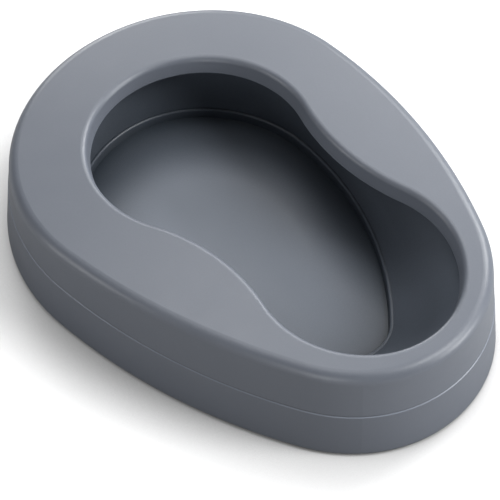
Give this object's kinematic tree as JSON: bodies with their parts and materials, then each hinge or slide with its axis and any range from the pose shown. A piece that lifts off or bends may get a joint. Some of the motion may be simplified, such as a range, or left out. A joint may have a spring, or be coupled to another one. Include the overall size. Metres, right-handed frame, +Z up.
{
  "type": "bedpan",
  "caption": "Pontoon-type bedpan with a wide domed seat, a waisted opening and an inset stepped bowl, narrower at the front.",
  "frame": {"origin": "middle of the footprint, on the face that rests on the bed", "axes": "+Z up, +Y towards the wide rear end, -Y towards the narrow front end, +X to the right seen from the front"},
  "size_m": [0.276, 0.387, 0.0901],
  "materials": {
    "shell": "satin mid-grey moulded plastic with a slight blue cast",
    "base": "satin mid-grey moulded plastic with a slight blue cast",
    "bowl": "satin mid-grey moulded plastic, as the shells",
    "seal": "matt black elastomer"
  },
  "bodies": {
    "root": {"seat_shell": "shell", "base_shell": "base", "bowl": "bowl", "seam_seal": "seal", "throat_seal": "seal", "foot_seal": "seal"}
  },
  "joints": []
}
